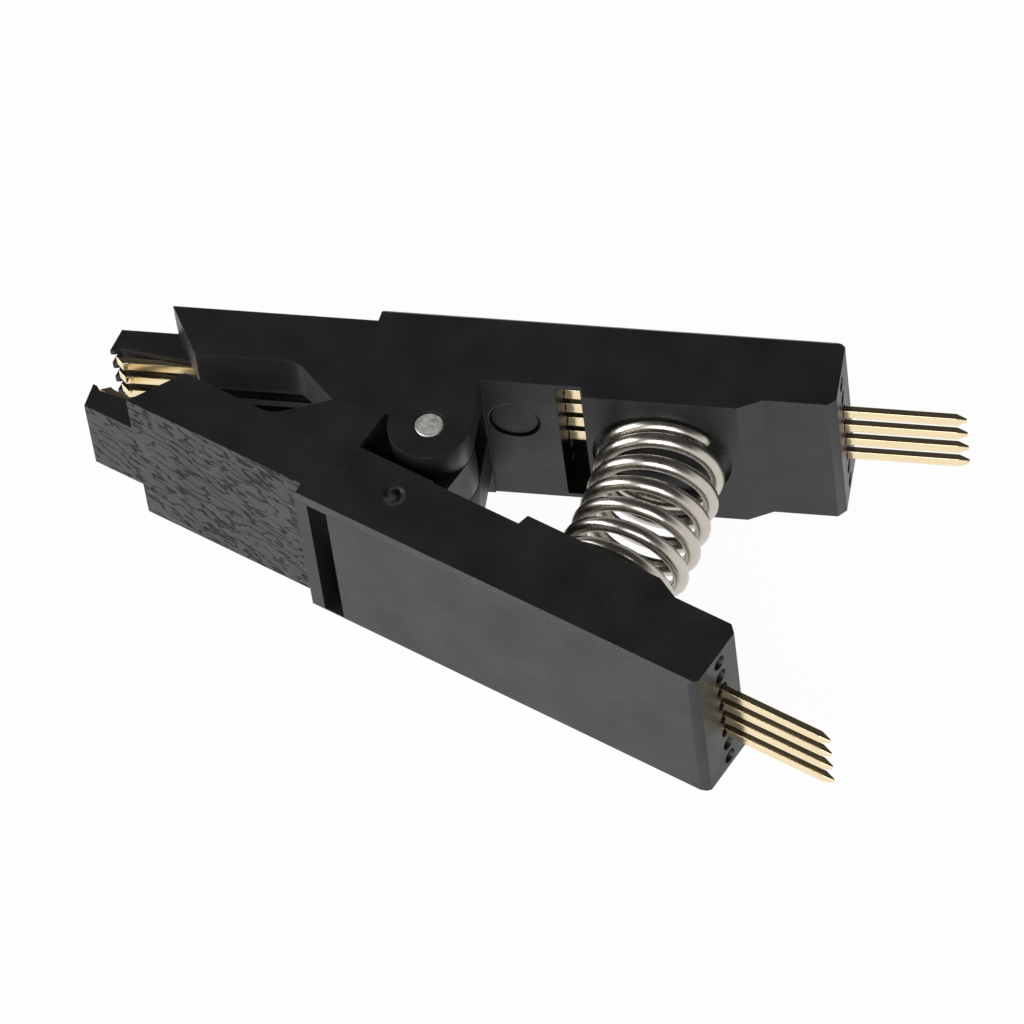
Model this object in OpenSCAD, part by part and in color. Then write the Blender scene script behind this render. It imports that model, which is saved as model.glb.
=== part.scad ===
// Test clip for an eight-lead small-outline chip.
// Two moulded arms of one shape, one of them turned over, cross at a pivot pin.
// A coil spring behind the pivot holds the jaws shut, and four gold strips in each
// arm run from a comb at the jaw, past the hinge, to square pins at the tail.
// The origin is on the pivot's axis, in the plane that the clip lies on.
// X runs from the jaws to the tails, and Y from one arm to the other.
// Each arm is drawn lying along X with its inner side towards +Y.

/* [Arms] */
// Height of both arms, from the face they lie on to the upper face
arm_h = 10.5; // [10.2:0.1:12]
// Angle of each arm to the clip's middle plane with the jaws shut
arm_tilt = 12; // [11:0.5:13]
// Distance from the pivot to the tail's end face
tail_len = 22.45; // [22:0.05:26]
// Distance from the pivot to the outer face
outer_dist = 7.85; // [7.6:0.05:9]
// Distance from the pivot to the inner face behind the hinge
inner_dist = 3.3; // [3.2:0.05:3.5]
// Chamfer on the tail's upright edges
tail_chamfer = 0.45; // [0.2:0.05:0.6]
// Chamfer along the outer edges
edge_chamfer = 0.25; // [0.1:0.05:0.3]
// Diameter of the ejector mark on the inner face
mark_d = 2.85; // [1.5:0.05:3.2]
// Depth of the ejector mark
mark_depth = 0.12; // [0.05:0.01:0.3]
// Distance from the pivot to the ejector mark, along the arm
mark_x = 4.0; // [3.9:0.05:4.6]
// Height of the ejector mark above the arm's own lower face
mark_z = 3.6; // [3:0.1:5]

/* [Jaws] */
// Distance from the pivot to the grip's step in the outer face
grip_x = 3.9; // [3.7:0.05:4.5]
// Depth of the grip below the outer face
grip_step = 0.9; // [0.5:0.05:1]
// Length of the grip step's slope
step_run = 0.12; // [0.05:0.01:0.5]
// Distance from the pivot to the front face's outer edge
front_x = 15.85; // [15.5:0.05:18]
// How far the front face leans back on its way to the inner side
front_lean = 1.85; // [1:0.05:2.5]
// Distance from the pivot's plane to the cheek's inner face
cheek_dist = 3.7; // [3.4:0.05:4]
// Distance from the pivot to the corner where the cheek turns inwards
cheek_x = 8.15; // [7.9:0.05:9]
// Distance from the pivot to the front end of the stop face
stop_x = 5.75; // [5.4:0.05:6]
// Radius in the cheek's inward corner
cheek_r = 1.6; // [0.8:0.1:2]
// Gap left between the two stop faces with the jaws shut
stop_gap = 0.04; // [0.02:0.01:0.1]

/* [Nose] */
// Distance from the pivot to the nose's front
nose_x = 19.55; // [19.3:0.05:22]
// Height of the nose
nose_h = 5.3; // [5.1:0.1:5.6]
// Radius of the nose's outer front corner
nose_r = 1.1; // [0.5:0.1:1.5]
// Lean of the nose's front face, in degrees
nose_lean = 10; // [0:1:15]
// Distance from the pivot's plane to the nose's lip
lip_dist = 5.42; // [5.4:0.01:5.5]
// Length of the nose's lip
lip_len = 0.25; // [0.1:0.05:0.4]
// Length of the slope behind the lip
lip_slope = 0.35; // [0.2:0.05:0.6]
// Depth of the nose's inner side behind its lip
lip_step = 0.2; // [0.1:0.05:0.25]
// Height of the nose's root above the strips' middle
root_rise = 0.45; // [0.3:0.05:0.6]
// Height of the open channel between the cheeks
channel_h = 4.6; // [4.5:0.1:5]
// Distance from the pivot to the channel's rear end
channel_x = 3.6; // [3.5:0.05:3.7]

/* [Hinge] */
// Diameter of the pivot pin
pin_d = 1.75; // [1.4:0.05:2]
// Radial clearance of the pin in its ears
pin_fit = 0.03; // [0.01:0.01:0.08]
// Depth of the pin's ends below the faces
pin_inset = 0.05; // [0.02:0.01:0.2]
// Chamfer on the pin's ends
pin_chamfer = 0.12; // [0.05:0.01:0.3]
// Radius of the hinge ears
ear_r = 2.35; // [2:0.05:2.4]
// Height of the ear that lies in an arm's outer face
ear_h = 2.1; // [1.8:0.1:2.4]
// Gap between stacked ears
ear_gap = 0.08; // [0.05:0.01:0.15]
// Clearance in front of the mating ear
ear_room = 0.2; // [0.15:0.05:0.3]
// Height of the ear pocket's floor above the inner face
pocket_rise = 0.1; // [0.05:0.05:0.2]

/* [Spring] */
// Outer diameter of the coil
coil_d = 7.45; // [6.8:0.05:7.6]
// Diameter of the wire
wire_d = 0.9; // [0.7:0.05:1]
// Number of turns, closed ends included
turns = 7.5; // [6:0.5:7.5]
// Gap between neighbouring turns at the coil's closed ends
turn_gap = 0.01; // [0.01:0.01:0.05]
// Where the wire ends, in degrees round the coil
wire_end = 37; // [0:1:359]
// Distance from the pivot to the spring seat
seat_x = 12.4; // [12.3:0.05:12.6]
// Diameter of the spring seat
seat_d = 7.9; // [7.8:0.05:8.1]
// Depth of the spring seat below the pad
seat_depth = 0.5; // [0.3:0.05:0.7]
// Gap between the coil's ends and their seats
seat_gap = 0.03; // [0.01:0.01:0.1]
// Height of the pad above the inner face
pad_h = 0.7; // [0.5:0.05:0.9]
// Length of the pad in front of the seat
pad_front = 0.35; // [0.2:0.05:0.4]
// Length of the pad behind the seat
pad_back = 0.6; // [0.3:0.05:1]
// Length of the slope in front of the pad
pad_rise = 0.17; // [0.05:0.01:0.3]
// Length of the slope behind the pad
pad_ramp = 1.4; // [0.5:0.1:2]

/* [Contacts] */
// Distance between neighbouring contacts
pitch = 1.27; // [1.2:0.01:1.27]
// Height of the contact strip
strip_h = 0.64; // [0.5:0.01:0.66]
// Thickness of the contact strip
strip_t = 0.4; // [0.3:0.01:0.42]
// Height of the strip where its tunnel holds it
hold_h = 0.8; // [0.7:0.01:0.82]
// How far the held stretch runs past the window, at both ends
hold_past = 1.2; // [0.8:0.1:2]
// Length of the slopes at the held stretch's ends
hold_slope = 0.2; // [0.1:0.05:0.4]
// Distance from the pivot's plane to the strip's middle behind the hinge
strip_dist = 5.4; // [5.35:0.01:5.45]
// How far the jaw end of the strip is bent inwards
strip_bend = 0.27; // [0.2:0.01:0.3]
// Distance from the nose's front back to the strip's jaw end
tip_back = 0.3; // [0.2:0.05:0.5]
// Height of the tooth at the strip's jaw end
tooth_h = 0.08; // [0.04:0.01:0.12]
// Length of the tooth's rear slope
tooth_slope = 0.25; // [0.1:0.05:0.5]
// Distance from the pivot to the tail pins' tips
pin_reach = 29.4; // [28:0.1:36]
// Length of the tail pins' points
point_len = 0.6; // [0.3:0.05:1]
// How many times the point's tip is thinner than its pin
point_ratio = 3; // [2:0.5:5]
// Diameter of the contact tunnels
tunnel_d = 0.95; // [0.92:0.01:1]
// Clearance between the strip and its slot in the comb
comb_room = 0.05; // [0.03:0.01:0.08]
// Width of the inner window over the contacts
window_w = 1.45; // [1:0.05:1.5]
// Gap between the window and the spring pad
window_gap = 0.1; // [0.05:0.05:0.2]
// Width of the outer slot over the contacts
slot_w = 1.3; // [1:0.05:1.4]
// Distance from the channel's rear end to the outer slot's front edge
slot_back = 0.55; // [0.4:0.05:0.6]
// Wall left at the slot's and the window's ends
skin = 0.35; // [0.25:0.05:0.5]
// How far the window and the slot pass the strips' middle
window_past = 0.9; // [0.6:0.05:1]

/* [Hidden] */
CONTACTS = 4;      // contacts in each arm
TUNNELS = 8;       // tunnels in each arm: the middle ones hold the contacts
RING_STEPS = 20;   // rings in each turn of the spring
RING_SIDES = 10;   // sides of the spring's wire
$fn = 48;

cut = 1;                                     // how far a cutter passes its face
mid_z = arm_h / 2;
inner_y = -inner_dist;
outer_y = -outer_dist;
pad_y = inner_y + pad_h;
grip_y = outer_y + grip_step;
cheek_y = -cheek_dist;
strip_y = -strip_dist;
jaw_y = strip_y + strip_bend;                // middle of the strip in the jaw
front_in = front_x - front_lean;             // front face's inner edge
pad_x = seat_x - seat_d / 2 - pad_front;     // front edge of the spring pad
pad_end = seat_x + seat_d / 2 + pad_back;    // rear edge of the spring pad
window_x = pad_x - window_gap - window_w;    // front edge of the inner window
slot_x = channel_x - slot_back;              // front edge of the outer slot
hold_start = window_x - hold_past;
hold_end = window_x + window_w + hold_past;

// The coil bends between its tilted seats, so its middle line is an arc
coil_r = (coil_d - wire_d) / 2;
seat_y = pad_y - seat_depth + seat_gap + wire_d / 2;
axis_x = seat_x * cos(arm_tilt) + seat_y * sin(arm_tilt);
axis_y = seat_y * cos(arm_tilt) - seat_x * sin(arm_tilt);
bend_r = -axis_y / sin(arm_tilt);
coil_len = bend_r * arm_tilt * PI / 90;
end_pitch = wire_d + turn_gap;
free_pitch = (coil_len - 2 * end_pitch) / (turns - 2);

// Height of contact or tunnel i out of n
function row_z(i, n) = mid_z + (i - (n - 1) / 2) * pitch;

// Points on an arc about c from angle a to angle b, in n steps
function arc(c, r, a, b, n) =
    [for (i = [0:n]) let (t = a + (b - a) * i / n) c + r * [cos(t), sin(t)]];

// The stop face lies along the clip's middle plane when the jaws are shut
function stop_y(x) = -x * tan(arm_tilt) - stop_gap / 2 / cos(arm_tilt);

// Plan of an arm without its nose, with the hinge ears at full height
module arm_plan() {
    slope = atan2(stop_y(stop_x) - cheek_y, cheek_x - stop_x);
    fillet_start = cheek_x + cheek_r * tan(slope / 2);
    circle(ear_r);
    polygon(concat(
        [[tail_len, outer_y + tail_chamfer], [tail_len - tail_chamfer, outer_y],
         [-grip_x, outer_y], [-grip_x - step_run, grip_y],
         [-front_x, grip_y], [-front_in, cheek_y]],
        arc([-fillet_start, cheek_y + cheek_r], cheek_r, -90, slope - 90, 6),
        [[-stop_x, stop_y(stop_x)], [0, stop_y(0)], [ear_r, 0], [ear_r, inner_y],
         [pad_x, inner_y], [pad_x + pad_rise, pad_y], [pad_end, pad_y],
         [pad_end + pad_ramp, inner_y], [tail_len - tail_chamfer, inner_y],
         [tail_len, inner_y - tail_chamfer]]));
}

// Plan of the nose, which is the plan of each rib of the comb too
module nose_plan() {
    lip_y = -lip_dist;
    root_x = front_in - root_rise;
    corner_x = nose_x - nose_r * cos(nose_lean);
    polygon(concat(
        [[-grip_x - step_run - cut, grip_y]],
        arc([-corner_x, grip_y + nose_r], nose_r, 270, 180 + nose_lean, 8),
        [[-nose_x, lip_y], [-nose_x + lip_len, lip_y],
         [-nose_x + lip_len + lip_slope, lip_y - lip_step],
         [-root_x, strip_y + root_rise], [-grip_x - step_run - cut, strip_y + root_rise]]));
}

// Everything inside the chamfers on an arm's upper and lower outer edges
module edge_limit() {
    low = [outer_y + edge_chamfer + cut, -cut];
    side = [outer_y - cut, edge_chamfer + cut];
    far = ear_r + cut;
    translate([-nose_x - cut, 0, 0])
        rotate([90, 0, 90])
            linear_extrude(nose_x + tail_len + 2 * cut)
                polygon([[far, -cut], low, side, [side[0], arm_h - side[1]],
                         [low[0], arm_h + cut], [far, arm_h + cut]]);
}

// Room for one of the other arm's ears
module ear_pocket(low, high) {
    translate([-ear_r - ear_room, inner_y + pocket_rise, low])
        cube([2 * ear_r + ear_room + cut, inner_dist + ear_r, high - low]);
}

// Slots, windows and tunnels that the contacts run through
module contact_ways() {
    comb_h = strip_h + 2 * comb_room;
    comb_y = jaw_y - strip_t / 2 - comb_room;
    // comb slots, open at the front and on the inner side
    for (i = [0:CONTACTS - 1])
        translate([-nose_x - cut, comb_y, row_z(i, CONTACTS) - comb_h / 2])
            cube([nose_x + cut - channel_x, outer_dist, comb_h]);
    // channel between the cheeks
    translate([-front_in, strip_y - strip_t, mid_z - channel_h / 2])
        cube([front_in - channel_x, outer_dist, channel_h]);
    // tunnels from the tail's end face to the outer slot, the middle ones to the channel
    for (i = [0:TUNNELS - 1]) {
        spare = abs(i - (TUNNELS - 1) / 2) > CONTACTS / 2;
        start = spare ? -slot_x : -channel_x - cut;
        translate([start, strip_y, row_z(i, TUNNELS)])
            rotate([0, 90, 0])
                cylinder(h = tail_len + cut - start, d = tunnel_d);
    }
    // window in the inner face
    translate([window_x, strip_y - window_past, skin])
        cube([window_w, outer_dist, arm_h - 2 * skin]);
    // slot in the outer face
    translate([-slot_x, outer_y - cut, skin])
        cube([slot_w, outer_dist - strip_dist + window_past + cut, arm_h - 2 * skin]);
}

// A round recess in an inner face at height y, for the spring and the ejector mark
module recess(x, y, z, d, depth) {
    translate([x, y + cut, z])
        rotate([90, 0, 0])
            cylinder(h = cut + depth, d = d);
}

// An arm, lying along X with its inner side towards +Y
module arm() {
    difference() {
        union() {
            intersection() {
                linear_extrude(arm_h) arm_plan();
                edge_limit();
            }
            translate([0, 0, mid_z - nose_h / 2])
                linear_extrude(nose_h) nose_plan();
        }
        ear_pocket(ear_h - ear_gap / 2, mid_z + ear_gap / 2);
        ear_pocket(arm_h - ear_h - ear_gap / 2, arm_h + cut);
        contact_ways();
        translate([0, 0, -cut])
            cylinder(h = arm_h + 2 * cut, r = pin_d / 2 + pin_fit);
        recess(seat_x, pad_y, mid_z, seat_d, seat_depth);
        recess(mark_x, inner_y, mark_z, mark_d, mark_depth);
    }
}

// Plan of a contact strip: its tooth, its bend past the cheek and its pointed pin
module strip_plan() {
    half = strip_t / 2;
    tip_x = -nose_x + tip_back;
    tooth_x = tip_x + strip_t + tooth_h;
    bend_x = -channel_x - cut;
    pin_x = pin_reach - point_len;
    point = half / point_ratio;
    polygon([[pin_reach, strip_y - point], [pin_x, strip_y - half],
             [bend_x, strip_y - half], [-cheek_x, jaw_y - half], [tip_x, jaw_y - half],
             [tooth_x, jaw_y + half + tooth_h], [tooth_x + tooth_slope, jaw_y + half],
             [-cheek_x, jaw_y + half], [bend_x, strip_y + half],
             [pin_x, strip_y + half], [pin_reach, strip_y + point]]);
}

// One half of the strip's outline seen from the side, above its middle
function strip_side() = [[-nose_x, strip_h / 2], [hold_start, strip_h / 2],
    [hold_start + hold_slope, hold_h / 2], [hold_end - hold_slope, hold_h / 2],
    [hold_end, strip_h / 2], [pin_reach - point_len, strip_h / 2],
    [pin_reach, strip_h / 2 / point_ratio]];

// A contact strip with its jaw tooth and its pointed tail pin
module contact(i) {
    upper = strip_side();
    lower = [for (k = [len(upper) - 1:-1:0]) [upper[k][0], -upper[k][1]]];
    translate([0, 0, row_z(i, CONTACTS)])
        intersection() {
            linear_extrude(2 * hold_h, center = true) strip_plan();
            rotate([90, 0, 0])
                linear_extrude(4 * outer_dist, center = true)
                    polygon(concat(lower, upper));
        }
}

module pivot_pin() {
    pin_len = arm_h - 2 * pin_inset;
    end_r = pin_d / 2 - pin_chamfer;
    color("lightgray")
        translate([0, 0, pin_inset])
            rotate_extrude()
                polygon([[0, 0], [end_r, 0], [pin_d / 2, pin_chamfer],
                         [pin_d / 2, pin_len - pin_chamfer], [end_r, pin_len], [0, pin_len]]);
}

// Advance along the coil's middle line after n turns, with one closed turn at each end
function advance(n) = n < 1 ? n * end_pitch :
    n > turns - 1 ? coil_len - (turns - n) * end_pitch :
    end_pitch + (n - 1) * free_pitch;

// One ring of the wire after n turns, square to the coil's middle line
function wire_ring(n) =
    let (bow = arm_tilt - advance(n) / bend_r * 180 / PI,
         turn = wire_end + 360 * n,
         out = [cos(bow), sin(bow), 0],
         along = [-sin(bow), cos(bow), 0],
         centre = [axis_x - bend_r * cos(arm_tilt), 0, mid_z] + bend_r * out,
         radial = cos(turn) * out + sin(turn) * [0, 0, 1])
    [for (k = [0:RING_SIDES - 1])
        let (a = 360 * k / RING_SIDES)
        centre + coil_r * radial + wire_d / 2 * (cos(a) * radial + sin(a) * along)];

module spring() {
    rings = round(turns * RING_STEPS);
    points = [for (j = [0:rings]) each wire_ring(j * turns / rings)];
    sides = [for (j = [0:rings - 1], k = [0:RING_SIDES - 1])
        let (a = j * RING_SIDES + k, b = j * RING_SIDES + (k + 1) % RING_SIDES)
        [b, a, a + RING_SIDES, b + RING_SIDES]];
    last = rings * RING_SIDES;
    caps = [[for (k = [0:RING_SIDES - 1]) k], [for (k = [RING_SIDES - 1:-1:0]) last + k]];
    color("silver") polyhedron(points, concat(sides, caps));
}

// The first arm, on the -Y side
module place_a() {
    rotate([0, 0, -arm_tilt]) children();
}

// The second arm is the same part turned over, on the +Y side
module place_b() {
    rotate([0, 0, arm_tilt])
        translate([0, 0, arm_h])
            rotate([180, 0, 0]) children();
}

module arm_a() { color("dimgray") place_a() arm(); }
module arm_b() { color("dimgray") place_b() arm(); }
module contact_a(i) { color("gold") place_a() contact(i); }
module contact_b(i) { color("gold") place_b() contact(i); }

arm_a();
arm_b();
pivot_pin();
spring();
contact_a(0);  // contact_a1
contact_a(1);  // contact_a2
contact_a(2);  // contact_a3
contact_a(3);  // contact_a4
contact_b(0);  // contact_b1
contact_b(1);  // contact_b2
contact_b(2);  // contact_b3
contact_b(3);  // contact_b4
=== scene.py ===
# %% [markdown]
# # A test clip for small chips
# This clip holds a small-outline chip between two combs of gold contacts. Its two
# black arms, its pivot pin and its contacts are already built as exact solids, so
# Blender's work here is the finish: moulded nylon with a grained grip, gold plating,
# a ground steel pin and a drawn steel spring, bent between the arms.
# First the solids are loaded. Everything is in metres, in the same frame as they are.

# %% Load the solids
import math

import bmesh
import bpy
from mathutils import Matrix, Vector


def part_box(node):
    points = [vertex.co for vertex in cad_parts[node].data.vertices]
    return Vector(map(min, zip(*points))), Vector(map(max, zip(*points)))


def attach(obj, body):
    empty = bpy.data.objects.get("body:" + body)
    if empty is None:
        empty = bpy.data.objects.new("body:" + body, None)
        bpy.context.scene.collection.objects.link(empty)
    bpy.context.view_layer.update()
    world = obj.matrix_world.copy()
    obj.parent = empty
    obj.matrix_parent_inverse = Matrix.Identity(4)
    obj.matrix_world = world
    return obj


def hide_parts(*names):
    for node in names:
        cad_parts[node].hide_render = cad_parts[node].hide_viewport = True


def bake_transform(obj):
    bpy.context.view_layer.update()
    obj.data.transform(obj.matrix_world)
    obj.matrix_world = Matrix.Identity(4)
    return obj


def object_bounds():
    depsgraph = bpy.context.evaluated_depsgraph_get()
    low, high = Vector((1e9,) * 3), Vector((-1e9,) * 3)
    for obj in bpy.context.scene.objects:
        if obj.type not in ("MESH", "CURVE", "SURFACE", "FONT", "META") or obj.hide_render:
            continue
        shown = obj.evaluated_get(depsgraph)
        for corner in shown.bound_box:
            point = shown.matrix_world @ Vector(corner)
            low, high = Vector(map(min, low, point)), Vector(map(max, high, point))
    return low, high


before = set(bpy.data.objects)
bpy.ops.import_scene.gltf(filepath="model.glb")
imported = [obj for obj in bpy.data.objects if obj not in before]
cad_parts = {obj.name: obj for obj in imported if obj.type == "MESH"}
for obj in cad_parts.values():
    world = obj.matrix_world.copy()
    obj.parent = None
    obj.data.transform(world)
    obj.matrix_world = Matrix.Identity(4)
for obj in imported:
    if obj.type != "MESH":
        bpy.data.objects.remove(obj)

MM = 0.001
solid_box = [list(corner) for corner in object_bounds()]
print("nodes:", ", ".join(sorted(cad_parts)))
print("box in mm:", [[round(v / MM, 2) for v in corner] for corner in solid_box])

# %% [markdown]
# ## The frame of one arm
# Both arms are the same moulding. Each one is easiest to describe lying along X, with
# its inner side towards +Y, so every pattern on it reads that frame. The first arm is
# turned by the tilt about the pivot. The second is also turned over about its length.
# A Mapping node does the same turn inside a material, and it can scale metres to
# millimetres on the way, which keeps the texture scales easy to read.

# %% Arm frames
TILT = math.radians(12)
ARM_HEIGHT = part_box("arm_a")[1].z
ARM_TURNS = {"a": (0, 0, TILT), "b": (math.pi, 0, TILT)}
ARM_SHIFTS = {"a": (0, 0, 0), "b": (0, 0, ARM_HEIGHT / MM)}
print("arm height in mm:", round(ARM_HEIGHT / MM, 2))

# %% [markdown]
# ## Small helpers for node trees
# A finish is a node tree. These helpers add one node with its settings. An input that
# is a socket is linked, and any other input is set as a plain value, so that each
# finish below reads as a short list of steps.

# %% Add and fill nodes
def fill_inputs(tree, node, inputs):
    for key, value in inputs.items():
        if isinstance(value, bpy.types.NodeSocket):
            tree.links.new(value, node.inputs[key])
        else:
            node.inputs[key].default_value = value


def add_node(tree, kind, inputs=None, **settings):
    node = tree.nodes.new(kind)
    for name, value in settings.items():
        setattr(node, name, value)
    fill_inputs(tree, node, inputs or {})
    return node


def add_group(tree, group, inputs):
    node = add_node(tree, "ShaderNodeGroup", node_tree=group)
    fill_inputs(tree, node, inputs)
    return node


print("nodes can be added and filled")

# %% [markdown]
# Most steps of a finish are one of three small things: some arithmetic, a blend of two
# colours, or a soft step. The soft step is 0 at its low end and 1 at its high end, and
# where low is the larger number it falls instead of rising.

# %% Everyday steps
def math_node(tree, operation, *values):
    node = add_node(tree, "ShaderNodeMath", dict(enumerate(values)), operation=operation)
    return node.outputs[0]


def blend_colours(tree, factor, first, second):
    node = add_node(tree, "ShaderNodeMix", {0: factor, 6: first, 7: second}, data_type="RGBA")
    return node.outputs[2]


def soft_step(tree, value, low, high):
    node = add_node(tree, "ShaderNodeMapRange",
                    {"Value": value, "From Min": low, "From Max": high},
                    interpolation_type="SMOOTHSTEP")
    return node.outputs[0]


print("steps: arithmetic, colour blend, soft step")

# %% [markdown]
# A finish that more than one material uses becomes a node group, which has its own
# named sockets. A material holds the shader. Dressing a solid puts the material in
# every one of its slots.

# %% Groups and materials
def new_group(name, inputs, outputs):
    group = bpy.data.node_groups.new(name, "ShaderNodeTree")
    for title, kind in inputs:
        group.interface.new_socket(title, in_out="INPUT", socket_type=kind)
    for title, kind in outputs:
        group.interface.new_socket(title, in_out="OUTPUT", socket_type=kind)
    return group, group.nodes.new("NodeGroupInput"), group.nodes.new("NodeGroupOutput")


def new_material(name):
    material = bpy.data.materials.new(name)
    material.use_nodes = True
    tree = material.node_tree
    return material, tree, tree.nodes["Principled BSDF"]


def dress(node, material):
    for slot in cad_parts[node].material_slots:
        slot.material = material


print("groups and materials can be made")

# %% [markdown]
# Every pattern starts from a place on the object. Object coordinates stay with a piece
# when it moves, so a grain never slides. These two helpers give that place in
# millimetres: one along the clip, and one lying in the frame of an arm.

# %% Places in millimetres
TO_MM = (1 / MM, 1 / MM, 1 / MM)


def place_on_clip(tree):
    spot = add_node(tree, "ShaderNodeTexCoord")
    place = add_node(tree, "ShaderNodeMapping", {"Vector": spot.outputs["Object"], "Scale": TO_MM})
    return place.outputs[0]


def place_on_arm(tree, side):
    spot = add_node(tree, "ShaderNodeTexCoord")
    place = add_node(tree, "ShaderNodeMapping", {
        "Vector": spot.outputs["Object"], "Location": ARM_SHIFTS[side],
        "Rotation": ARM_TURNS[side], "Scale": TO_MM})
    return place.outputs[0]


print("arm_b's place is turned by", [round(math.degrees(angle)) for angle in ARM_TURNS["b"]])

# %% [markdown]
# ## The grip's grain
# The outer face of each jaw has a grain like hide: flat scales between narrow dark
# grooves that wander along the arm. A Voronoi texture was tried first, but its cells
# are too regular. Here the grooves are contour lines of a noise: wherever the noise is
# near one half, there is a line. Stretching the noise along the arm makes long lines,
# leaning it a little gives their slant, and a second noise breaks them into strokes.
# The group gives the scales' height, and a mask of painted shade for the grooves.

# %% Grain group
LEAN = 0.16
CONTOUR = 0.5
RIDGE_WIDTH = 0.12
GROOVE_EDGE, GROOVE_FLOOR = 0.085, 0.03


def build_grip_grain():
    group, entry, result = new_group(
        "grip_grain",
        [("Place", "NodeSocketVector"), ("Length", "NodeSocketFloat"), ("Width", "NodeSocketFloat")],
        [("Height", "NodeSocketFloat"), ("Valley Shade", "NodeSocketFloat")])
    place = entry.outputs["Place"]
    parts = add_node(group, "ShaderNodeSeparateXYZ", {0: place})
    leaning = math_node(group, "MULTIPLY_ADD", parts.outputs["X"], LEAN, parts.outputs["Z"])
    stretched = add_node(group, "ShaderNodeCombineXYZ", {
        "X": math_node(group, "DIVIDE", parts.outputs["X"], entry.outputs["Length"]),
        "Y": math_node(group, "DIVIDE", leaning, entry.outputs["Width"])})
    waves = add_node(group, "ShaderNodeTexNoise",
                     {"Vector": stretched.outputs[0], "Scale": 1.0, "Detail": 1.0},
                     noise_dimensions="2D")
    off_contour = math_node(group, "SUBTRACT", waves.outputs["Fac"], CONTOUR)
    from_line = math_node(group, "ABSOLUTE", off_contour)
    ridge = soft_step(group, from_line, 0.0, RIDGE_WIDTH)
    groove_shade = soft_step(group, from_line, GROOVE_EDGE, GROOVE_FLOOR)
    patches = add_node(group, "ShaderNodeTexNoise", {"Vector": place, "Scale": 1.3, "Detail": 1.0})
    broken = soft_step(group, patches.outputs["Fac"], 0.3, 0.5)
    # The valley mask below is painted shade: it marks the grooves to be darkened where shade would
    # fall in them.
    valley_shade = math_node(group, "MULTIPLY", groove_shade, broken)
    group.links.new(ridge, result.inputs["Height"])
    group.links.new(valley_shade, result.inputs["Valley Shade"])
    return group


grip_grain = build_grip_grain()
print("grip grain has", len(grip_grain.nodes), "nodes")

# %% [markdown]
# ## Where the nylon changes
# The arms are black glass-filled nylon, and three places on them differ from the rest.
# The grained face starts at the step in the outer face. The gate, where the plastic
# came into the mould, left a small pitted scar on the arm's upper face, so it shows on
# top of one arm and underneath the other. An ejector pushed the moulding out and left
# a thin ring on the inner face. Each place is a mask: 1 inside it and 0 elsewhere.

# %% Masks on an arm, in millimetres
GRIP_FROM = -4.05
GRIP_FACE = -6.94
GATE = (1.0, -5.1, 10.5)
EJECTOR = (4.0, -3.4, 3.6)
EJECTOR_RADIUS = 1.42


def distance_to(group, place, point):
    node = add_node(group, "ShaderNodeVectorMath", {0: place, 1: point}, operation="DISTANCE")
    return node.outputs["Value"]


def grip_mask(group, place):
    at = add_node(group, "ShaderNodeSeparateXYZ", {0: place})
    in_front = math_node(group, "LESS_THAN", at.outputs["X"], GRIP_FROM)
    outside = soft_step(group, at.outputs["Y"], GRIP_FACE + 0.04, GRIP_FACE)
    return math_node(group, "MULTIPLY", in_front, outside)


def gate_mask(group, place):
    return soft_step(group, distance_to(group, place, GATE), 0.75, 0.35)


def ring_mask(group, place):
    off_ring = math_node(group, "SUBTRACT", distance_to(group, place, EJECTOR), EJECTOR_RADIUS)
    return soft_step(group, math_node(group, "ABSOLUTE", off_ring), 0.11, 0.03)


print("the grip starts", GRIP_FROM, "mm along the arm")

# %% [markdown]
# ## Moulded nylon
# Moulded nylon is satin and never quite even: slow cloudy changes of gloss, a fine
# spark-eroded texture from the mould, and a few pale specks of glass and dust. Black
# plastic is seen almost only by its gloss, so a darker colour alone would not show a
# groove. The grain's grooves, the ejector ring and the gate's pits therefore get painted
# shade: a near-black colour, and a mask of their own. Fed to Metallic over that colour,
# the mask takes the gloss away there, as the shade in a deep groove would.

# %% Nylon colours
NYLON_DARK = (0.0065, 0.0065, 0.0067, 1)
NYLON_LIGHT = (0.0105, 0.0105, 0.0108, 1)
NYLON_GRAINED = (0.018, 0.018, 0.0185, 1)
# Painted shade: the colour given to the grain's grooves, the ejector ring and the gate's pits.
NYLON_PAINTED_SHADE = (0.003, 0.003, 0.003, 1)
SPECK = (0.3, 0.3, 0.29, 1)
BRUISED = (0.06, 0.06, 0.058, 1)


def nylon_colour(group, clouds, grip, painted_shade, speck, pale):
    # The second layer is painted shade, darkening the grooves, the ejector ring and the gate's pits.
    layers = ((math_node(group, "MULTIPLY", grip, 0.7), NYLON_GRAINED),
              (painted_shade, NYLON_PAINTED_SHADE),
              (math_node(group, "MULTIPLY", speck, 0.08), SPECK),
              (math_node(group, "MULTIPLY", pale, 0.5), BRUISED))
    tone = blend_colours(group, clouds, NYLON_DARK, NYLON_LIGHT)
    for mask, colour in layers:
        tone = blend_colours(group, mask, tone, colour)
    return tone


print("nylon colours run from", NYLON_DARK[0], "to", NYLON_LIGHT[0])

# %% Nylon group
SPARK_DEPTH, RING_DEPTH, GRAIN_DEPTH, GATE_DEPTH = 0.016, 0.06, 0.15, 0.25


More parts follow.
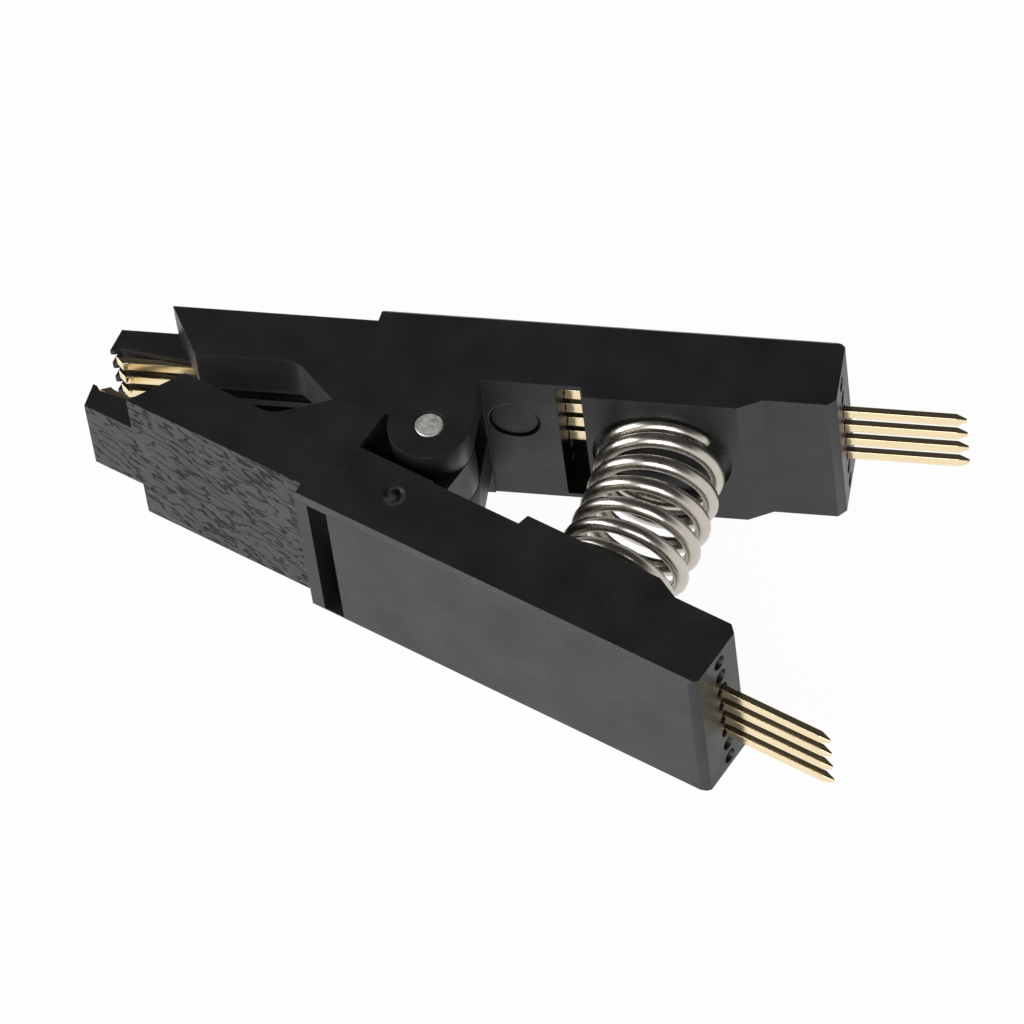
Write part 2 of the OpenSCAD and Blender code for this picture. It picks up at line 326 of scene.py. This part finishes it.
def build_moulded_nylon():
    group, entry, result = new_group(
        "moulded_nylon", [("Place", "NodeSocketVector")],
        [("Color", "NodeSocketColor"), ("Roughness", "NodeSocketFloat"),
         ("Height", "NodeSocketFloat"), ("Painted Shade", "NodeSocketFloat")])
    place = entry.outputs["Place"]
    grip = grip_mask(group, place)
    scar = gate_mask(group, place)
    ring = ring_mask(group, place)
    grain = add_group(group, grip_grain, {"Place": place, "Length": 1.6, "Width": 0.72})
    clouds = add_node(group, "ShaderNodeTexNoise", {"Vector": place, "Scale": 0.35, "Detail": 4.0})
    spark = add_node(group, "ShaderNodeTexNoise", {"Vector": place, "Scale": 7.0, "Detail": 3.0})
    specks = add_node(group, "ShaderNodeTexVoronoi", {"Vector": place, "Scale": 2.2})
    speck = soft_step(group, specks.outputs["Distance"], 0.09, 0.03)
    pits = add_node(group, "ShaderNodeTexNoise", {"Vector": place, "Scale": 1.5, "Detail": 3.0})
    pit_shade = math_node(group, "MULTIPLY", soft_step(group, pits.outputs["Fac"], 0.46, 0.52), scar)
    pale = math_node(group, "MULTIPLY", soft_step(group, pits.outputs["Fac"], 0.48, 0.4), scar)
    # Painted shade: grooves, ejector ring and gate pits are darkened, and the same mask later takes
    # their gloss away.
    groove_shade = math_node(group, "MULTIPLY", grip, grain.outputs["Valley Shade"])
    painted_shade = math_node(group, "MAXIMUM", math_node(group, "MAXIMUM", groove_shade, ring), pit_shade)
    tone = nylon_colour(group, clouds.outputs["Fac"], grip, painted_shade, speck, pale)
    rough = add_node(group, "ShaderNodeMapRange",
                     {"Value": clouds.outputs["Fac"], "From Min": 0.3, "From Max": 0.7,
                      "To Min": 0.36, "To Max": 0.5})
    sunk_ring = math_node(group, "MULTIPLY", ring, -RING_DEPTH)
    fine = math_node(group, "MULTIPLY_ADD", spark.outputs["Fac"], SPARK_DEPTH, sunk_ring)
    scales = math_node(group, "MULTIPLY", grain.outputs["Height"], grip)
    raised = math_node(group, "MULTIPLY", scales, GRAIN_DEPTH)
    torn = math_node(group, "MULTIPLY", pits.outputs["Fac"], scar)
    gouged = math_node(group, "MULTIPLY", torn, -GATE_DEPTH)
    height = math_node(group, "ADD", math_node(group, "ADD", fine, raised), gouged)
    group.links.new(tone, result.inputs["Color"])
    group.links.new(rough.outputs[0], result.inputs["Roughness"])
    group.links.new(height, result.inputs["Height"])
    group.links.new(math_node(group, "MULTIPLY", painted_shade, 0.78), result.inputs["Painted Shade"])
    return group


moulded_nylon = build_moulded_nylon()
print("moulded nylon has", len(moulded_nylon.nodes), "nodes")

# %% Nylon on both arms
def nylon_for(side):
    material, tree, shader = new_material("nylon_" + side)
    finish = add_group(tree, moulded_nylon, {"Place": place_on_arm(tree, side)})
    bump = add_node(tree, "ShaderNodeBump", {"Strength": 1.0, "Distance": MM,
                                             "Height": finish.outputs["Height"]})
    tree.links.new(finish.outputs["Color"], shader.inputs["Base Color"])
    tree.links.new(finish.outputs["Roughness"], shader.inputs["Roughness"])
    # Painted shade: the shade mask drives Metallic, so the grooves, ring and pits lose their gloss
    # as shade would darken them.
    tree.links.new(finish.outputs["Painted Shade"], shader.inputs["Metallic"])
    tree.links.new(bump.outputs[0], shader.inputs["Normal"])
    return material


nylon = {side: nylon_for(side) for side in "ab"}
for side in "ab":
    dress("arm_" + side, nylon[side])
print("both arms are dressed in moulded nylon")

# %% [markdown]
# ## Finer arm mouldings
# Three details of the arms are finer than the solids: the nose has a square outer
# corner and a front that leans, the comb's slots run out through its lip, and low ribs
# stand between the contacts in the channel behind the jaws. Modelling the arms anew
# would risk their exact sizes, so each is a copy of its solid, merged, turned into the
# arm's own frame, reshaped there, and turned back.

# %% Turn into an arm's own frame
def arm_matrix(side):
    turn = Matrix.Rotation(TILT, 4, "Z")
    if side == "b":
        turn = turn @ Matrix.Rotation(math.pi, 4, "X")
    lift = Matrix.Translation((0, 0, ARM_HEIGHT if side == "b" else 0))
    return lift @ turn


def mesh_piece(name, bm):
    mesh = bpy.data.meshes.new(name)
    bm.to_mesh(mesh)
    bm.free()
    piece = bpy.data.objects.new(name, mesh)
    bpy.context.collection.objects.link(piece)
    return piece


print("arm_b turn:", [round(v, 3) for v in arm_matrix("b")[0]])

# %% [markdown]
# The solid's nose ends in a round corner. Its vertices are found by their distance
# from the round's centre and slid onto two straight lines: the outer face as far as
# the new corner, and the leaning front after it. The angles say which line each takes.

# %% Square the nose
NOSE_TIP = Vector((-19.55, -5.42)) * MM
NOSE_CORNER = Vector((-19.13, -6.95)) * MM
ROUND_CENTRE = Vector((-18.467, -5.85)) * MM
ROUND_RADIUS = 1.1 * MM
ROUND_START, ROUND_SPLIT, ROUND_END = 270, 240, 190
FRONT_SHARE = 0.6


def square_nose(bm):
    moved = 0
    for vert in bm.verts:
        spoke = vert.co.xy - ROUND_CENTRE
        angle = math.degrees(math.atan2(spoke.y, spoke.x)) % 360
        on_round = abs(spoke.length - ROUND_RADIUS) < 0.01 * MM
        if not on_round or not ROUND_END - 1 < angle < ROUND_START:
            continue
        if angle > ROUND_SPLIT:
            share = (ROUND_START - angle) / (ROUND_START - ROUND_SPLIT)
            vert.co.x = ROUND_CENTRE.x + (NOSE_CORNER.x - ROUND_CENTRE.x) * share
            vert.co.y = NOSE_CORNER.y
        else:
            share = FRONT_SHARE * (ROUND_SPLIT - angle) / (ROUND_SPLIT - ROUND_END)
            vert.co.xy = NOSE_CORNER.lerp(NOSE_TIP, share)
        moved += 1
    return moved


print("the nose's front leans", round((NOSE_CORNER.x - NOSE_TIP.x) / MM, 2), "mm")

# %% [markdown]
# The contacts stand at the lead pitch of the chip, and so do the slots and the ribs
# between them. A slot is cut by a block and a Boolean. A rib is a block set into the
# walls of the channel, so it needs no Boolean: its ends are hidden in the plastic.

# %% Comb slots and ribs
PITCH = 1.27 * MM
SLOT = 0.74 * MM
LIP_X, LIP_Y = (-20.5 * MM, -18.9 * MM), (-6.25 * MM, -5.0 * MM)
RIB_X, RIB_Y = (-14.1 * MM, -3.5 * MM), (-5.9 * MM, -4.5 * MM)
CONTACT_HEIGHTS = [ARM_HEIGHT / 2 + (i - 1.5) * PITCH for i in range(4)]


def block(bm, *spans):
    size = [high - low for low, high in spans]
    middle = [(low + high) / 2 for low, high in spans]
    place = Matrix.Translation(middle) @ Matrix.Diagonal((*size, 1))
    bmesh.ops.create_cube(bm, size=1, matrix=place)


def lip_cutter():
    bm = bmesh.new()
    for height in CONTACT_HEIGHTS:
        block(bm, LIP_X, LIP_Y, (height - SLOT / 2, height + SLOT / 2))
    return mesh_piece("lip_cutter", bm)


def add_ribs(bm):
    for lower, upper in zip(CONTACT_HEIGHTS, CONTACT_HEIGHTS[1:]):
        block(bm, RIB_X, RIB_Y, (lower + SLOT / 2, upper - SLOT / 2))


print("contact heights in mm:", [round(height / MM, 2) for height in CONTACT_HEIGHTS])

# %% Cut with a Boolean
def cut_lip(piece):
    cutter = lip_cutter()
    cut = piece.modifiers.new("cut_lip", "BOOLEAN")
    cut.object = cutter
    cut.solver = "EXACT"
    graph = bpy.context.evaluated_depsgraph_get()
    bm = bmesh.new()
    bm.from_mesh(piece.evaluated_get(graph).data)
    piece.modifiers.clear()
    bpy.data.objects.remove(cutter)
    return bm


print("each lip gets", len(CONTACT_HEIGHTS), "slots of", round(SLOT / MM, 2), "mm")

# %% Build both mouldings
def build_moulding(side):
    to_arm = arm_matrix(side)
    bm = bmesh.new()
    bm.from_mesh(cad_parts["arm_" + side].data)
    bmesh.ops.remove_doubles(bm, verts=bm.verts, dist=1e-7)
    bmesh.ops.transform(bm, matrix=to_arm, verts=bm.verts)
    moved = square_nose(bm)
    bmesh.ops.dissolve_limit(bm, angle_limit=math.radians(0.5), verts=bm.verts, edges=bm.edges)
    piece = mesh_piece("moulding_" + side, bm)
    bm = cut_lip(piece)
    add_ribs(bm)
    bmesh.ops.transform(bm, matrix=to_arm.inverted(), verts=bm.verts)
    bm.to_mesh(piece.data)
    bm.free()
    piece.data.materials.clear()
    piece.data.materials.append(nylon[side])
    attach(piece, "half_" + side)
    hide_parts("arm_" + side)
    print(piece.name, "has", len(piece.data.polygons), "faces;", moved, "nose vertices moved")
    return piece


mouldings = [build_moulding(side) for side in "ab"]

# %% [markdown]
# ## Soft moulded edges
# No moulding has perfectly sharp edges. A thin round along each edge catches the
# light, and that thin line is what makes the shape read. The solids' meshes are loose
# triangles, so a Weld modifier joins them first, and a Bevel modifier then rounds
# only the edges where two faces really turn. The contacts and the pin use it as well.

# %% Edge rounding
def soften(piece, radius):
    weld = piece.modifiers.new("join", "WELD")
    weld.merge_threshold = 1e-6
    bevel = piece.modifiers.new("soft_edges", "BEVEL")
    bevel.width = radius
    bevel.segments = 2
    bevel.limit_method = "ANGLE"
    bevel.angle_limit = math.radians(30)
    bevel.harden_normals = True


for moulding in mouldings:
    soften(moulding, 0.07 * MM)
print("arm edges are rounded")

# %% [markdown]
# ## Gold contacts
# The contacts are thin plated strips. Gold is a metal, so its colour is the colour of
# its reflection, and a low roughness keeps the streaks of light and dark that make
# plated pins look crisp. Drawing the strip leaves very fine lines along it.

# %% Gold
GOLD_DEEP = (0.86, 0.66, 0.36, 1)
GOLD_PALE = (0.98, 0.86, 0.62, 1)


def gold_for(side):
    material, tree, shader = new_material("gold_plate_" + side)
    stretch = add_node(tree, "ShaderNodeMapping",
                       {"Vector": place_on_arm(tree, side), "Scale": (0.3, 9, 9)})
    lines = add_node(tree, "ShaderNodeTexNoise",
                     {"Vector": stretch.outputs[0], "Scale": 1.0, "Detail": 3.0})
    colour = blend_colours(tree, lines.outputs["Fac"], GOLD_DEEP, GOLD_PALE)
    tree.links.new(colour, shader.inputs["Base Color"])
    rough = add_node(tree, "ShaderNodeMapRange",
                     {"Value": lines.outputs["Fac"], "To Min": 0.08, "To Max": 0.2})
    tree.links.new(rough.outputs[0], shader.inputs["Roughness"])
    bump = add_node(tree, "ShaderNodeBump", {"Strength": 0.25, "Distance": 0.01 * MM,
                                             "Height": lines.outputs["Fac"]})
    tree.links.new(bump.outputs[0], shader.inputs["Normal"])
    shader.inputs["Metallic"].default_value = 1.0
    return material


for side in "ab":
    gold = gold_for(side)
    for number in "1234":
        dress(f"contact_{side}{number}", gold)
        soften(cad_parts[f"contact_{side}{number}"], 0.03 * MM)
print("8 contacts are gold plated")

# %% [markdown]
# ## The pivot pin
# The pin is ground steel, cut to length, so its round end faces are bright but
# scratched and slightly mottled.

# %% Pin steel
def pin_steel():
    material, tree, shader = new_material("ground_steel")
    marks = add_node(tree, "ShaderNodeTexNoise", {"Vector": place_on_clip(tree), "Scale": 2.2,
                                                  "Detail": 5.0, "Roughness": 0.65})
    mottle = soft_step(tree, marks.outputs["Fac"], 0.35, 0.62)
    colour = blend_colours(tree, mottle, (0.5, 0.48, 0.45, 1), (0.95, 0.93, 0.9, 1))
    tree.links.new(colour, shader.inputs["Base Color"])
    rough = add_node(tree, "ShaderNodeMapRange",
                     {"Value": marks.outputs["Fac"], "To Min": 0.7, "To Max": 0.5})
    tree.links.new(rough.outputs[0], shader.inputs["Roughness"])
    bump = add_node(tree, "ShaderNodeBump", {"Strength": 0.5, "Distance": 0.03 * MM,
                                             "Height": marks.outputs["Fac"]})
    tree.links.new(bump.outputs[0], shader.inputs["Normal"])
    shader.inputs["Metallic"].default_value = 1.0
    return material


dress("pivot_pin", pin_steel())
soften(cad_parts["pivot_pin"], 0.04 * MM)
print("the pin is ground steel")

# %% [markdown]
# ## The coil spring
# The spring is the one piece that changes shape when the clip opens. Here its plain
# solid is replaced by a finer coil, bent once to sit between the arms. A screw is a spin with
# a step along its axis: a small circle, turned about the coil's axis, leaves a tube.
# The first and the last turn are closed, so they are spun with a small step, and the
# turns between them with a larger one. The straight coil is then bent along an arc,
# because its two seats are tilted to each other.

# %% Coil sizes
WIRE = 0.9 * MM
TURNS = 7.5
WIRE_END = math.radians(37)
SEAT = Vector((12.4, -3.07)) * MM
spring_low, spring_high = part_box("spring")
coil_radius = (spring_high.z - spring_low.z - WIRE) / 2
seat_y = SEAT.y + WIRE / 2
axis_x = SEAT.x * math.cos(TILT) + seat_y * math.sin(TILT)
axis_y = seat_y * math.cos(TILT) - SEAT.x * math.sin(TILT)
bend_radius = -axis_y / math.sin(TILT)
coil_length = bend_radius * 2 * TILT
closed_step = WIRE + 0.01 * MM
open_step = (coil_length - 2 * closed_step) / (TURNS - 2)
print("coil length in mm:", round(coil_length / MM, 2), "step:", round(open_step / MM, 2))

# %% Spin the wire
STEPS = 48
WIRE_SIDES = 14


def spin_coil(bm):
    ring = bmesh.ops.create_circle(bm, segments=WIRE_SIDES, radius=WIRE / 2)["verts"]
    bmesh.ops.translate(bm, verts=ring, vec=(coil_radius, 0, 0))
    bmesh.ops.rotate(bm, verts=ring, matrix=Matrix.Rotation(-WIRE_END, 3, "Y"))
    face = ring + list(bm.edges)
    travelled = 0.0
    for turns, step in ((1, closed_step), (TURNS - 2, open_step), (1, closed_step)):
        steps = round(turns * STEPS)
        swept = bmesh.ops.spin(bm, geom=face, axis=(0, -1, 0), cent=(0, -travelled, 0),
                               dvec=(0, -step * turns / steps, 0), angle=turns * math.tau,
                               steps=steps, use_duplicate=False)
        face = swept["geom_last"]
        travelled += step * turns
    bmesh.ops.holes_fill(bm, edges=[edge for edge in bm.edges if edge.is_boundary], sides=0)
    return travelled


print("a turn has", STEPS, "steps of", WIRE_SIDES, "faces")

# %% Bend it between the seats
def bend_coil(bm):
    centre = Vector((axis_x - bend_radius * math.cos(TILT), 0, ARM_HEIGHT / 2))
    for vert in bm.verts:
        bow = TILT + vert.co.y / bend_radius
        reach = bend_radius + vert.co.x
        vert.co = centre + Vector((reach * math.cos(bow), reach * math.sin(bow), vert.co.z))


print("the coil bends on a radius of", round(bend_radius / MM, 1), "mm")

# %% [markdown]
# The spun tube's doubles are merged and its normals recalculated, because a spin can
# turn a surface inside out.

# %% Coil mesh
bm = bmesh.new()
travelled = spin_coil(bm)
bend_coil(bm)
bmesh.ops.remove_doubles(bm, verts=bm.verts, dist=1e-7)
bmesh.ops.recalc_face_normals(bm, faces=bm.faces)
spring_coil = mesh_piece("spring_coil", bm)
coil_mesh = spring_coil.data
for polygon in coil_mesh.polygons:
    polygon.use_smooth = len(polygon.vertices) == 4
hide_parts("spring")
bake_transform(spring_coil)
print("coil travels", round(travelled / MM, 2), "mm with", len(coil_mesh.polygons), "faces")

# %% [markdown]
# The wire is drawn steel, left bare. It is darker and warmer than the ground pin, and
# its gloss changes in soft patches along the turns.

# %% Spring steel
def spring_steel():
    material, tree, shader = new_material("drawn_steel")
    clouds = add_node(tree, "ShaderNodeTexNoise",
                      {"Vector": place_on_clip(tree), "Scale": 1.6, "Detail": 4.0})
    colour = blend_colours(tree, clouds.outputs["Fac"], (0.46, 0.42, 0.37, 1), (0.64, 0.6, 0.54, 1))
    tree.links.new(colour, shader.inputs["Base Color"])
    rough = add_node(tree, "ShaderNodeMapRange",
                     {"Value": clouds.outputs["Fac"], "To Min": 0.2, "To Max": 0.36})
    tree.links.new(rough.outputs[0], shader.inputs["Roughness"])
    shader.inputs["Metallic"].default_value = 1.0
    return material


coil_mesh.materials.append(spring_steel())
print("the coil is drawn steel")

# %% [markdown]
# ## The floor
# The clip lies on a plain white floor. To the camera, and in reflections, the floor
# gives out its own white, so that metal and gloss show a clean background. A small
# share of plain matte white stays in it, and that share keeps the clip's shadow.

# %% Floor
FLOOR_SIZE = 3.0
OWN_WHITE = 0.97


def floor_material():
    material, tree, shader = new_material("white_floor")
    tree.nodes.remove(shader)
    light = add_node(tree, "ShaderNodeLightPath")
    mirrored = math_node(tree, "MAXIMUM", light.outputs["Is Glossy Ray"],
                         light.outputs["Is Transmission Ray"])
    seen = math_node(tree, "MAXIMUM", light.outputs["Is Camera Ray"], mirrored)
    share = math_node(tree, "MULTIPLY", seen, OWN_WHITE)
    matte = add_node(tree, "ShaderNodeBsdfDiffuse", {"Color": (0.82, 0.82, 0.82, 1)})
    white = add_node(tree, "ShaderNodeEmission", {"Color": (1, 1, 1, 1), "Strength": 1.0})
    both = add_node(tree, "ShaderNodeMixShader",
                    {0: share, 1: matte.outputs[0], 2: white.outputs[0]})
    tree.links.new(both.outputs[0], tree.nodes["Material Output"].inputs["Surface"])
    return material


bm = bmesh.new()
bmesh.ops.create_grid(bm, x_segments=1, y_segments=1, size=FLOOR_SIZE)
floor = mesh_piece("floor", bm)
floor.data.materials.append(floor_material())
floor.location.z = solid_box[0][2]
print("floor at", floor.location.z)

# %% [markdown]
# ## The room and its lamps
# Black plastic shows little colour of its own: nearly all of its light is reflection.
# The clip's upright faces mirror the white floor and so look grey, while its upper
# faces mirror the ceiling, which is kept dark. Two soft panels stand in front, with a
# gap between them that breaks the highlights of the coil.

# %% Room
PALE_WALL = (0.95, 0.95, 0.95, 1)
DARK_CEILING = (0.05, 0.05, 0.05, 1)


def build_world():
    world = bpy.data.worlds.new("studio")
    bpy.context.scene.world = world
    world.use_nodes = True
    tree = world.node_tree
    background = tree.nodes["Background"]
    light = add_node(tree, "ShaderNodeLightPath")
    spot = add_node(tree, "ShaderNodeTexCoord")
    at = add_node(tree, "ShaderNodeSeparateXYZ", {0: spot.outputs["Generated"]})
    rise = soft_step(tree, at.outputs["Z"], 0.15, 0.55)
    room = blend_colours(tree, rise, PALE_WALL, DARK_CEILING)
    shown = blend_colours(tree, light.outputs["Is Camera Ray"], room, (1, 1, 1, 1))
    tree.links.new(shown, background.inputs["Color"])


build_world()
print("the room is pale low down and dark above")

# %% Lamps
def soft_panel(name, direction, distance, width, height, power, target):
    data = bpy.data.lights.new(name, "AREA")
    data.shape = "RECTANGLE"
    data.size = width
    data.size_y = height
    data.energy = power
    lamp = bpy.data.objects.new(name, data)
    bpy.context.collection.objects.link(lamp)
    towards = Vector(direction).normalized()
    lamp.location = target + towards * distance
    lamp.rotation_euler = towards.to_track_quat("Z", "Y").to_euler()
    return lamp


clip_centre = (Vector(solid_box[0]) + Vector(solid_box[1])) / 2
soft_panel("left_panel", (-0.75, -0.45, 0.5), 0.5, 0.35, 0.35, 2.2, clip_centre)
soft_panel("right_panel", (0.25, -0.8, 0.55), 0.5, 0.3, 0.3, 1.6, clip_centre)
print("two panels light the front")

# %% [markdown]
# ## The camera
# The camera looks down on the clip from its right front with a long lens, which keeps
# the far arm nearly as large as the near one. Its turn is written as the three
# directions it knows: to its right, up, and straight back.

# %% Camera
CAMERA_PLACE = Vector((133.83, -246.5, 378.94)) * MM
CAMERA_RIGHT = Vector((0.9306, 0.3555, -0.0876))
CAMERA_UP = Vector((-0.2392, 0.7714, 0.5897))
CAMERA_BACK = Vector((0.2772, -0.5278, 0.8029))


def place_camera():
    data = bpy.data.cameras.new("camera")
    data.lens = 292.1
    data.sensor_width = 36
    data.clip_start = 0.02
    data.clip_end = 20
    camera = bpy.data.objects.new("camera", data)
    bpy.context.collection.objects.link(camera)
    turn = Matrix((CAMERA_RIGHT, CAMERA_UP, CAMERA_BACK)).transposed()
    camera.matrix_world = Matrix.Translation(CAMERA_PLACE) @ turn.to_4x4()
    bpy.context.scene.camera = camera
    return camera


camera = place_camera()
bpy.context.scene.view_settings.view_transform = "Standard"
print("camera at", [round(v, 3) for v in camera.location])
